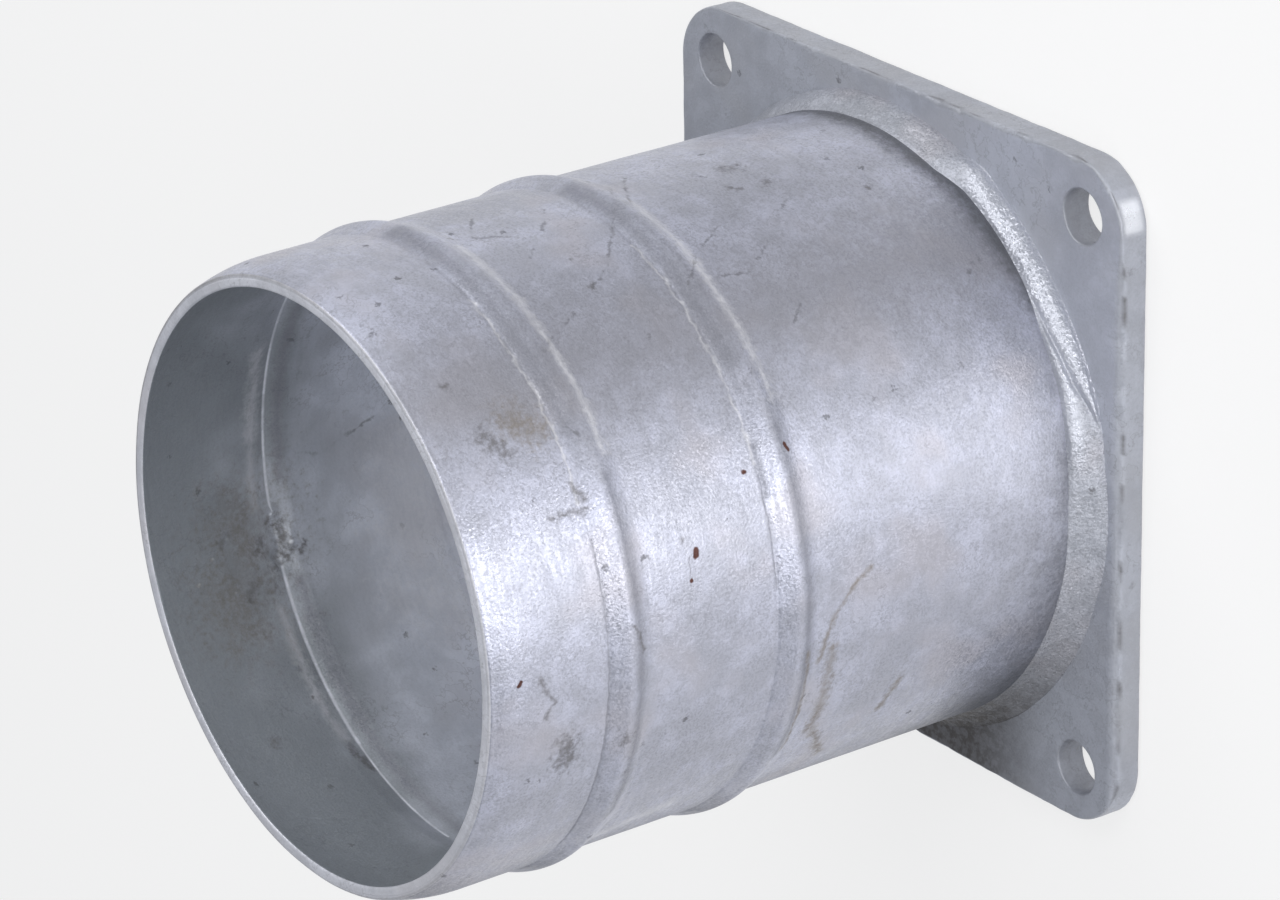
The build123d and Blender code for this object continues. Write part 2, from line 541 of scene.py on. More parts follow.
TUBE_MARKS = (
    # Painted shade: a broad darker band along the tube's upper side.
    *marks_of(
        MarkKind.BROAD_SHADE,
        (56.0, ((52, 20), (52, 178))),
    ),
    *marks_of(
        MarkKind.SHADE,
        (14.0, ((38, 11.5), (50, 13.5), (64, 14.5), (72, 17), (100, 17.5), (120, 16))),
        (72.0, ((-36, 3), (-50, 21), (-66, 20))),
        (28.0, ((8, 10), (-8, 9))),
        (64.0, ((-10, 3), (-24, 3), (-36, 3))),
    ),
    # Painted shade: the tube's lower flank, thin dark lines at the beads' front feet, and the beads' shaded
    # flanks.
    *marks_of(
        MarkKind.DIM_SHADE,
        (48.0, ((-58, 40), (-58, 176))),
        (1.0, ((-45, 149), (22, 149))),
        (1.0, ((4, 102), (24, 102))),
        (3.0, ((20, 101.2), (29, 101.2))),
        (6.2, ((-34, 141), (8, 141))),
        (5.8, ((-34, 93.7), (8, 93.7))),
        (7.4, ((8, 141.4), (31, 141.6))),
        (7.4, ((8, 94.2), (31, 94.4))),
        (9.6, ((40, 146.4), (96, 146.4))),
        (9.6, ((44, 99.2), (94, 99.2))),
    ),
    # Painted light: a pale reflection on the tube's underside, and painted highlights along the beads' front
    # feet and rear flanks.
    *marks_of(
        MarkKind.PALE,
        (10.0, ((-47.5, 136.5), (-44.5, 129), (-43, 118.5))),
        (1.5, ((28, 149.4), (70, 149.4))),
        (1.5, ((26, 102.2), (72, 102.2))),
        (5.0, ((36, 139.4), (84, 139.4))),
        (5.0, ((36, 92.2), (84, 92.2))),
    ),
    *marks_of(
        MarkKind.RUST,
        (1.8, ((25, 105.3),)),
        (1.5, ((27.6, 93.6), (26.6, 93.0))),
        (2.1, ((15, 122.5), (14, 122.8))),
        (1.4, ((10, 125),)),
        (1.2, ((2, 172.5), (1.2, 173))),
    ),
    *marks_of(
        MarkKind.STAIN,
        (2.6, ((2.5, 74.5), (-1, 81), (-5.5, 86), (-13, 88.5))),
        (5.6, ((-11.5, 85), (-27, 84.5), (-31, 85.5))),
        (4.5, ((-31, 84), (-43, 75))),
        (4.0, ((-25, 61), (-32, 64))),
        (2.6, ((-10, 93), (-19, 92), (-34, 91.5))),
        (15.0, ((43, 154), (45, 158))),
    ),
    *marks_of(
        MarkKind.SCRATCH,
        (1.5, ((56, 140.5), (60.8, 128.6))),
        (1.3, ((92, 90), (83, 97), (69, 112), (65, 119.5))),
        (1.5, ((95, 83), (82.5, 93))),
        (1.3, ((59.5, 98), (66.3, 89), (71.5, 77))),
        (1.4, ((60, 89), (59, 81), (65, 69))),
        (2.0, ((68, 64), (73, 57))),
        (1.6, ((96, 125), (86, 134))),
        (1.8, ((88, 138.5), (84, 126))),
        (1.6, ((90, 110), (83, 117))),
        (1.4, ((78, 124), (74.5, 130))),
        (1.4, ((51.5, 72), (47.5, 77.5))),
        (1.7, ((51, 18), (47, 26))),
        (0.5, ((14.5, 124.5), (5, 126))),
        (1.2, ((41, 146), (36, 143))),
    ),
    *marks_of(
        MarkKind.SCUFF,
        (3.0, ((65, 119.7),)),
        (6.4, ((86.5, 61.5), (86, 59.5))),
        (3.4, ((80.5, 67), (79, 64.5))),
        (4.4, ((78.5, 57.5),)),
        (3.0, ((70, 35.5),)),
        (3.0, ((73, 119),)),
        (1.9, ((17.3, 126),)),
        (1.8, ((16, 135.5),)),
        (12.0, ((-13, 159.5), (-16, 159.5))),
        (6.0, ((-15, 144),)),
        (2.4, ((1.5, 168), (-3.7, 164), (-6, 166.5))),
        (2.2, ((6, 143), (1, 139.5))),
        (6.0, ((44, 167), (40, 163))),
        (3.4, ((54, 169),)),
        (3.2, ((27.3, 158), (27, 148))),
        (4.0, ((31, 149.5), (29, 148.5))),
    ),
)

BORE_MARKS = (
    # Painted shade on the groove's flank on the deep side.
    *marks_of(
        MarkKind.DIM_SHADE,
        (7.0, ((140, 139.6), (186, 139.6))),
        (7.0, ((206, 139.6), (280, 139.6))),
    ),
    *marks_of(
        MarkKind.CRUST,
        (34.0, ((196, 151), (206, 157))),
        (44.0, ((193, 152), (208, 158))),
    ),
    # Pale zinc smears beside the groove; the wide pale patch deep in the bore and the specks on the crust's
    # nodules are painted light.
    *marks_of(
        MarkKind.PALE,
        (8.0, ((157, 147.5), (176, 147.5))),
        (5.0, ((176, 147.5), (190, 148.5))),
        (6.0, ((211, 147.5), (231, 147.5), (238, 146.5))),
        (40.0, ((191, 104), (215, 106))),
        (1.4, ((194.3, 157.6),)),
        (1.6, ((197.6, 162.7),)),
        (1.4, ((201.4, 167.5),)),
        (1.3, ((205, 158.2),)),
    ),
    *marks_of(
        MarkKind.SCUFF,
        (4.0, ((196.5, 148.5), (198.5, 150))),
        (3.4, ((193.5, 157.5), (195, 159.5))),
        (4.6, ((205, 153.5), (207, 155))),
        (4.4, ((200, 142), (201.5, 141))),
        (6.4, ((194.5, 142), (199.5, 141))),
        (5.0, ((240, 146), (246, 144.5))),
        (1.8, ((228.5, 148.7),)),
        (6.0, ((235, 164),)),
        (3.4, ((202.5, 145.5),)),
        (2.8, ((199.5, 136.5), (201, 138))),
    ),
    *marks_of(
        MarkKind.SCRATCH,
        (1.3, ((182, 135), (183.5, 128), (179, 112))),
    ),
    *marks_of(
        MarkKind.GLINT,
        (1.2, ((140, 143.2), (192, 143.2))),
        (1.5, ((192.6, 143.6),)),
        (1.8, ((198.6, 139.8),)),
        (1.5, ((203, 143.2), (240, 143.2))),
        (1.0, ((240, 143.2), (270, 143.2))),
    ),
)


@dataclass
class SpigotTube:
    """The rolled tube: a turned-in nose, two hose beads and a seam inside.

    The rough patch is an angle, a height and its spread both ways; the crust by the seam is its spread
    round the bore, its height and its spread along it; a nodule is an angle, a height, a width and a rise.
    """

    outer_radius: float = 76.5
    wall: float = 3.0
    length: float = 180.0
    nose_start: float = 167.0
    nose_radius: float = 37.5
    mouth_round: float = 1.05
    bore_round: float = 0.65
    bead_crests: tuple[float, float] = (96.0, 143.2)
    bead_rise: float = 2.1
    bead_half_width: float = 5.8
    crest_radius: float = 4.0
    foot_radius: float = 1.5
    groove_radius: float = 1.0
    groove_foot_radius: float = 4.5
    bead_margin: float = 1.3
    crease_depth: float = 0.11
    crease_width: float = 0.42
    ridge_share: float = 0.5
    ridge_ahead: float = 0.85
    ridge_width: float = 0.4
    lip_rise: float = 0.05
    lip_width: float = 0.7
    nose_line_depth: float = 0.05
    nose_line_past: float = 1.6
    nose_line_width: float = 0.5
    rim_steps: tuple[float, ...] = (0.1, 0.2, 0.3, 0.42, 0.8, 1.2)
    rim_line_depth: float = 0.11
    rim_line_inset: float = 0.75
    rim_line_width: float = 0.14
    rough_patch: tuple[float, float, float, float] = (-14.5, 159.5, 4.0, 4.2)
    seam_angle: float = 200.5
    seam_rise: float = 0.25
    seam_width: float = 5.0
    seam_crust: tuple[float, float, float] = (10.0, 152.0, 15.0)
    nodules: tuple[tuple[float, float, float, float], ...] = (
        (198.3, 139.5, 1.7, 1.8), (192.2, 143.1, 1.2, 1.3), (194.3, 157.6, 1.0, 0.5),
        (197.6, 162.7, 1.3, 0.6), (201.4, 167.5, 1.2, 0.5), (205.0, 158.2, 1.1, 0.5),
        (200.6, 144.2, 1.6, -0.7))
    outside_waves: tuple[Wave, ...] = (
        Wave(0.05, (34, 14), 11), Wave(0.012, (96, 38), 12), Wave(0.006, (300, 120), 13))
    bore_waves: tuple[Wave, ...] = (Wave(0.03, (30, 13), 21), Wave(0.012, (88, 36), 22))
    crease_wave: Wave = Wave(0.35, (60, 1), 31)
    nose_wave: Wave = Wave(1.0, (22, 3), 32)
    rim_wave: Wave = Wave(0.5, (70, 2), 33)
    patch_wave: Wave = Wave(0.28, (330, 130), 34)
    seam_wave: Wave = Wave(0.6, (120, 60), 41)
    crust_wave: Wave = Wave(0.42, (260, 110), 42)
    lip_dirt: Span = (0.25, 0.55)
    dirty_side: float = 165.0
    dirty_spread: float = 75.0
    outside_zones: tuple[float, ...] = (0.0, 50.0, 80.0, 105.0, 130.0, 180.0)
    bore_zones: tuple[float, ...] = (0.0, 128.0, 180.0)
    columns: int = 360

    def bead(self, z: np.ndarray, inside: bool) -> np.ndarray:
        """Rise of the beads at each height: two flanks, with arcs at the crest and the feet.

        Args:
            z: heights.
            inside: whether it is the groove in the bore, one wall in from the bead.

        Returns:
            How far the surface stands out from the straight wall.
        """
        slope = self.bead_rise / self.bead_half_width
        lean = math.atan(slope)
        rise = self.bead_rise
        crest, foot = self.crest_radius, self.foot_radius
        if inside:
            rise += self.wall - self.wall / math.cos(lean)
            crest, foot = self.groove_radius, self.groove_foot_radius
        half = rise / slope
        total = np.zeros_like(z)
        for middle in self.bead_crests:
            x = np.abs(z - middle)
            flank = rise - slope * x
            crown = rise - crest / math.cos(lean) + np.sqrt(np.maximum(crest**2 - x**2, 0.0))
            toe_end = half + foot * math.tan(0.5 * lean)
            toe = foot - np.sqrt(np.maximum(foot**2 - np.minimum(toe_end - x, foot)**2, 0.0))
            shape = np.where(x < crest * math.sin(lean), crown, flank)
            shape = np.where(x > toe_end - foot * math.sin(lean), toe, shape)
            total += np.where(x < toe_end, shape, 0.0)
        return total

    def wall_line(self, z: np.ndarray, inside: bool) -> np.ndarray:
        """Radius of the wall at each height, straight and then along the nose's arc."""
        nose_centre = self.outer_radius - self.nose_radius
        arc = self.nose_radius - (self.wall if inside else 0.0)
        past = np.maximum(z - self.nose_start, 0.0)
        return nose_centre + np.sqrt(arc**2 - past**2) + self.bead(z, inside)

    def profile(self) -> tuple[np.ndarray, int, int]:
        """The wall's closed outline: up the outside, over the rim and down the bore.

        Returns:
            Points of (radius, height), and the rows where the rim and the bore start.
        """
        def rows(start: float, end: float, count: int) -> np.ndarray:
            """Even heights from a start to just short of an end, where the next rows begin."""
            return np.linspace(start, end, count, endpoint=False)

        low, high = self.bead_crests
        reach = self.bead_half_width + self.bead_margin
        rim_z = self.length - self.mouth_round
        outside = np.concatenate((
            rows(0.0, low - reach, 40), rows(low - reach, low + reach, 34),
            rows(low + reach, high - reach, 14), rows(high - reach, high + reach, 34),
            rows(high + reach, self.nose_start, 8), rows(self.nose_start, rim_z, 14)))
        rim_r = float(self.wall_line(np.array([rim_z]), False)[0]) - self.mouth_round
        turn = np.radians(np.linspace(0.0, 90.0, 6))
        lip_z = self.length - self.bore_round
        lip_r = float(self.wall_line(np.array([lip_z]), True)[0]) + self.bore_round
        land = rim_r - np.array(self.rim_steps)
        bend = np.radians(np.linspace(0.0, 90.0, 5))
        inside = np.concatenate((
            rows(lip_z - 0.4, self.nose_start, 10), rows(self.nose_start, high + reach, 9),
            rows(high + reach, high - reach, 32), rows(high - reach, low + reach, 15),
            rows(low + reach, low - reach, 24), np.linspace(low - reach, 0.0, 16)))
        radius = np.concatenate((
            self.wall_line(outside, False), rim_r + self.mouth_round * np.cos(turn), land,
            lip_r - self.bore_round * np.sin(bend), self.wall_line(inside, True)))
        height = np.concatenate((
            outside, rim_z + self.mouth_round * np.sin(turn), np.full(land.size, self.length),
            lip_z + self.bore_round * np.cos(bend), inside))
        bore_row = outside.size + turn.size + land.size + 3
        return np.column_stack((radius, height)), outside.size + 2, bore_row

    def relief(self, theta: np.ndarray, outline: np.ndarray, bore_row: int) -> np.ndarray:
        """How far the zinc and the forming marks stand off the plain wall.

        Soft lattice noise gives the coating's waves; the bead's front crease, the nose line and the
        rim's edge line are narrow bells across the profile; the seam is a low rough ridge in the bore,
        with beads of zinc where it meets the groove.

        Args:
            theta: degrees of each column.
            outline: the profile's points.
            bore_row: the row where the bore starts.

        Returns:
            Offsets in millimetres along the profile's normals, rows by columns.
        """
        z = outline[:, 1:2]
        turns = theta[None, :] / 360.0
        share = z / self.length
        bore = (np.arange(len(outline))[:, None] >= bore_row).astype(float)
        out = (1.0 - bore) * layered(self.outside_waves, turns, share)
        out = out + bore * layered(self.bore_waves, turns, share)

        crests = np.array(self.bead_crests)[None, :]
        front = z - (crests + self.bead_half_width)
        crease = bell(front, self.crease_width).sum(1, keepdims=True)
        ridge = bell(front - self.ridge_ahead, self.ridge_width).sum(1, keepdims=True)
        crease = crease - self.ridge_share * ridge
        depth = self.crease_depth * (1.0 + self.crease_wave.at(turns, np.full_like(turns, 0.5)))
        lip = bell(z - (crests - self.bead_half_width), self.lip_width).sum(1, keepdims=True)
        nose_line = bell(z - self.nose_start - self.nose_line_past, self.nose_line_width)
        nose_line = nose_line * step_up(self.nose_wave.at(turns, share), -0.4, 0.3)
        out += (1.0 - bore) * (self.lip_rise * lip - depth * crease - self.nose_line_depth * nose_line)

        rim = (np.abs(z - self.length) < 0.01) & (bore < 0.5)
        mouth_radius = self.wall_line(np.array([self.length]), False)[0]
        edge = bell(outline[:, :1] - mouth_radius + self.rim_line_inset, self.rim_line_width)
        out -= self.rim_line_depth * edge * rim * (1.0 + self.rim_wave.at(turns, share))
        angle, height, wide, tall = self.rough_patch
        patch = bell(angle_gap(theta, angle)[None, :], wide) * bell(z - height, tall)
        out += (1.0 - bore) * patch * self.patch_wave.at(turns, share)

        per_degree = self.outer_radius * math.radians(1.0)
        off_seam = angle_gap(theta, self.seam_angle)[None, :] * per_degree
        ridge = self.seam_rise * bell(off_seam, self.seam_width) * (1.0 + self.seam_wave.at(turns, share))
        wide, height, tall = self.seam_crust
        crust = bell(off_seam, wide) * bell(z - height, tall) * self.crust_wave.at(turns, share)
        blobs = np.zeros_like(out)
        for angle, height, wide, rise in self.nodules:
            across = angle_gap(theta, angle)[None, :] * per_degree
            blobs += rise * bell(np.hypot(across, z - height), wide)
        return out + bore * (ridge + crust + blobs)

    def build(self) -> bpy.types.Object:
        """Spins the outline round the axis, lays the relief on it and maps it for its marks.

        Returns:
            The tube, with the zones of its outside, its rim and the zones of its bore on material slots.
        """
        outline, rim_row, bore_row = self.profile()
        normals = loop_normals(outline)
        theta = np.arange(self.columns) * (360.0 / self.columns)
        offset = self.relief(theta, outline, bore_row)
        radius = outline[:, :1] + normals[:, :1] * offset
        height = outline[:, 1:] + normals[:, 1:] * offset
        foot = np.arange(len(outline))[:, None] * np.ones_like(offset)
        height = np.where((foot == 0) | (foot == len(outline) - 1), 0.0, height)
        points = spun(radius, height, np.radians(theta)[None, :])
        faces = ring_faces(len(outline), self.columns, True)
        piece = new_piece("beaded_tube", points, faces.tolist())

        row = np.arange(len(faces)) // self.columns
        in_bore = row >= bore_row
        middle = 0.5 * (outline[row, 1] + outline[(row + 1) % len(outline), 1])
        rim_slot = len(self.outside_zones) - 1
        slots = np.where(row >= rim_row, rim_slot, np.searchsorted(self.outside_zones[1:-1], middle))
        slots = np.where(in_bore, rim_slot + 1 + np.searchsorted(self.bore_zones[1:-1], middle), slots)
        piece.data.polygons.foreach_set("material_index", slots.astype(np.int32))
        left = np.arange(len(faces)) % self.columns * (TURN / self.columns)
        left = np.where(~in_bore & (left >= math.pi - 1e-6), left - TURN, left)
        right = left + TURN / self.columns
        across = np.stack((left, right, right, left), -1) * self.outer_radius * MM
        up = outline[:, 1] * MM
        above = up[(row + 1) % len(outline)]
        along = np.stack((up[row], up[row], above, above), -1)
        layer = piece.data.uv_layers.new(name=WRAP_MAP)
        layer.uv.foreach_set("vector", np.stack((across, along), -1).astype(np.float32).ravel())
        lip = bell(np.arange(len(outline)) - rim_row - 1.0, 1.6)[:, None]
        least, more = self.lip_dirt
        dirt = least + more * bell(angle_gap(theta, self.dirty_side), self.dirty_spread)
        store_values(piece, DIRT_AND_SHADE, lip * dirt[None, :])
        return piece

    def dress(self, piece: bpy.types.Object) -> None:
        """Gives the outside, the rim and the bore their zinc, with each zone's own marks, painted shade and
        highlights among them.
        """
        outside = ZincFinish("zinc_tube", marks=TUBE_MARKS, radius=self.outer_radius)
        rim = ZincFinish("zinc_rim", light=(0.74, 0.75, 0.815, 1.0), dark=(0.6, 0.61, 0.665, 1.0),
                         warm=(0.64, 0.63, 0.67, 1.0), metal=0.3, grit=0.1, dirt_and_shade=(0.14, 0.125, 0.115, 1.0))
        # The bore's zinc is paler than the outside's, partly for the zinc's own lightness and partly as
        # painted light deep in the bore; painted shade darkens it towards the mouth.
        bore = ZincFinish("zinc_bore", light=(0.76, 0.785, 0.86, 1.0), dark=(0.62, 0.645, 0.71, 1.0),
                          warm=(0.66, 0.66, 0.71, 1.0), rough_low=0.45, rough_high=0.65, metal=0.5,
                          facet=0.1, grit=0.08, dim_shade=(0.29, 0.312, 0.337, 1.0), marks=BORE_MARKS,
                          radius=self.outer_radius)
        finishes = [outside.between(*ends) for ends in zip(self.outside_zones, self.outside_zones[1:])]
        finishes.append(rim)
        finishes += [bore.between(*ends) for ends in zip(self.bore_zones, self.bore_zones[1:])]
        for finish in finishes:
            piece.data.materials.append(finish.material())


@dataclass
class FlangeWeld:
    """The fillet weld round the tube's foot: a wide run, with a raised run that laps it at the right.

    A pair of spans says over which angles a form rises and over which it falls away again.
    """

    tube_radius: float = 76.5
    plate_face: float = 8.0
    sunk: float = 0.3
    plate_legs: Path = (
        (-60, 5.2), (-6, 5.3), (8, 4.6), (18, 5.2), (30, 4.3), (46, 3.5), (58, 3.5), (64, 4.5), (70, 2.8),
        (80, 2.9), (95, 3.3), (130, 4.6), (220, 5.0))
    tube_legs: Path = (
        (-60, 7.2), (-6, 8.0), (12, 7.6), (25, 6.6), (36, 6.0), (50, 5.6), (63, 5.8), (70, 8.0), (95, 8.3),
        (130, 7.0), (220, 7.2))
    bead_edge: Path = ((13, 0.0), (17, 0.2), (23, 0.55), (33, 0.8), (42, 1.05))
    bead_start: float = 65.0
    bead_crown: float = 0.95
    arch_rise: float = 0.5
    hollow: Spans = ((-100.0, -80.0), (-10.0, 6.0))
    hollow_depth: float = 0.6
    shoulder: Spans = ((5.0, 12.0), (30.0, 38.0))
    shoulder_rise: float = 0.8
    lap: Spans = ((14.0, 18.0), (34.0, 44.0))
    lap_depth: float = 0.4
    lap_width: float = 0.07
    # The painted highlight strip near the tube's toe: where it rises and falls, its middle and its width.
    painted_highlight_strip: Spans = ((6.0, 12.0), (27.0, 36.0))
    strip_middle: float = 0.68
    strip_width: float = 0.2
    # Where the painted shadow with dirt below the tube rises and falls.
    shadow_and_dirt_angles: Spans = ((12.0, 66.0), (90.0, 125.0))
    ripple_pitch: float = 1.9
    ripple_rise: tuple[float, float] = (0.04, 0.07)
    plate_toe_wave: Wave = Wave(0.35, (40, 1), 51)
    tube_toe_wave: Wave = Wave(0.5, (34, 1), 52)
    ripple_wave: Wave = Wave(0.6, (90, 1), 53)
    lumps: tuple[Wave, ...] = (Wave(0.22, (80, 3), 54), Wave(0.12, (240, 7), 55))
    shadow_and_dirt_strength: float = 0.95
    columns: int = 1000
    rows: int = 30

    @staticmethod
    def round_values(theta: np.ndarray, knots: Path) -> np.ndarray:
        """Values between knots of (angle, value), closed round the axis."""
        angles, values = np.array(knots, dtype=float).T
        return np.interp(theta, angles, values, period=360.0)

    def face_lift(self, theta: np.ndarray, t: np.ndarray) -> tuple[np.ndarray, np.ndarray]:
        """How far the face stands off the straight line between its toes.

        A low arch lifts the wide run, which is hollow instead below the tube. The raised run is a second
        arch on the plate's side of a slanting line, rippled by a wave whose phase bends across it.

        Args:
            theta: degrees of each column.
            t: share of the way from the plate's toe to the tube's, for each row.

        Returns:
            The lift in millimetres, and how far each point is on the raised run.
        """
        turns = theta / 360.0
        flat = np.full_like(turns, 0.5)
        around = angle_gap(theta, 0.0)
        angles, shares = np.array(self.bead_edge, dtype=float).T
        edge = np.interp(around, angles, shares) * (around < 120.0)
        on_bead = step_up(edge - t, -0.07, 0.05) * step_up(edge, 0.02, 0.2)
        on_bead = on_bead * (1.0 - step_up(around + 5.0 * t, self.bead_start + 1.5, self.bead_start + 4.5))
        bow = np.sin(math.pi * t)
        bead = self.bead_crown * np.sin(math.pi * np.clip(t / np.maximum(edge, 0.05), 0.0, 1.0)) ** 0.85
        shoulder = plateau(around, *self.shoulder)
        hollow = plateau(around, *self.hollow)
        arch = self.arch_rise * bow**0.7 * (1.0 - hollow) - self.hollow_depth * bow * hollow
        arch = arch * (1.0 - 0.6 * shoulder) + self.shoulder_rise * shoulder * step_up(t, 0.35, 0.85)
        lap = self.lap_depth * bell(t - edge - 0.02, self.lap_width) * plateau(around, *self.lap)
        phase = np.radians(theta) * self.tube_radius / self.ripple_pitch + 4.4 * (t - 0.45) ** 2
        phase = phase + self.ripple_wave.at(turns, flat)
        low, high = self.ripple_rise
        ripple = np.sin(TURN * phase) * bow * (low + high * on_bead)
        lumps = layered(self.lumps, turns, t) * (1.0 - 0.3 * on_bead)
        lift = on_bead * bead + (1.0 - on_bead) * arch + ripple + lumps - lap
        return lift * np.minimum(1.0, 9.0 * np.minimum(t, 1.0 - t)), on_bead

    def build(self) -> bpy.types.Object:
        """Carries the fillet's section round the tube.

        The face runs from the plate's toe to the tube's toe. The hidden sides close the ring just inside
        the plate and the tube.

        Returns:
            The weld, with how far each point is on the raised run and the strip by the tube's toe as its
            polish and painted highlight, and its painted shadow with dirt below the tube.
        """
        theta = (np.arange(self.columns) * (360.0 / self.columns))[None, :]
        turns = theta / 360.0
        around = angle_gap(theta, 0.0)
        t = np.linspace(0.0, 1.0, self.rows)[:, None]
        flat = np.full_like(turns, 0.5)
        plate_leg = self.round_values(theta, self.plate_legs) + self.plate_toe_wave.at(turns, flat)
        tube_leg = self.round_values(theta, self.tube_legs) + self.tube_toe_wave.at(turns, flat)
        slant = np.hypot(plate_leg, tube_leg)
        lift, on_bead = self.face_lift(theta, t)
        radius = self.tube_radius + plate_leg * (1.0 - t) + lift * tube_leg / slant
        height = self.plate_face + tube_leg * t + lift * plate_leg / slant

        inner = self.tube_radius - self.sunk
        base = self.plate_face - self.sunk
        ones = np.ones_like(turns)
        radius = np.vstack((radius, inner * ones, inner * ones, self.tube_radius + plate_leg))
        height = np.vstack((height, self.plate_face + tube_leg, base * ones, base * ones))
        points = spun(radius, height, np.radians(theta))
        piece = new_piece("fillet_weld", points, ring_faces(self.rows + 3, self.columns, True).tolist())
        # The raised run is shinier with a painted highlight; the strip near the tube's toe at the right is
        # painted highlight.
        strip = plateau(around, *self.painted_highlight_strip) * bell(t - self.strip_middle, self.strip_width)
        hidden = np.zeros((3, self.columns))
        store_values(piece, POLISH_AND_HIGHLIGHT, np.vstack((np.maximum(on_bead, strip), hidden)))
        # Painted shadow with dirt on the weld below the tube.
        shadow_and_dirt = self.shadow_and_dirt_strength * plateau(-around, *self.shadow_and_dirt_angles)
        store_values(piece, DIRT_AND_SHADE, np.repeat(shadow_and_dirt, self.rows + 3, 0))
        return piece

    def dress(self, piece: bpy.types.Object) -> None:
        """Gives the weld its zinc, shinier on the raised run with a painted highlight, and painted shadow
        with dirt below the tube.
        """
        finish = ZincFinish("zinc_weld", light=(0.48, 0.495, 0.552, 1.0), dark=(0.365, 0.378, 0.42, 1.0),
                            warm=(0.47, 0.46, 0.5, 1.0), rough_low=0.38, rough_high=0.56, metal=0.4,
                            grain_depth=0.6, facet=0.3, grit=0.16, painted_highlight=(0.515, 0.53, 0.588, 1.0),
                            dirt_and_shade=DIRT_AND_SHADE_COLOUR)
        piece.data.materials.append(finish.material())


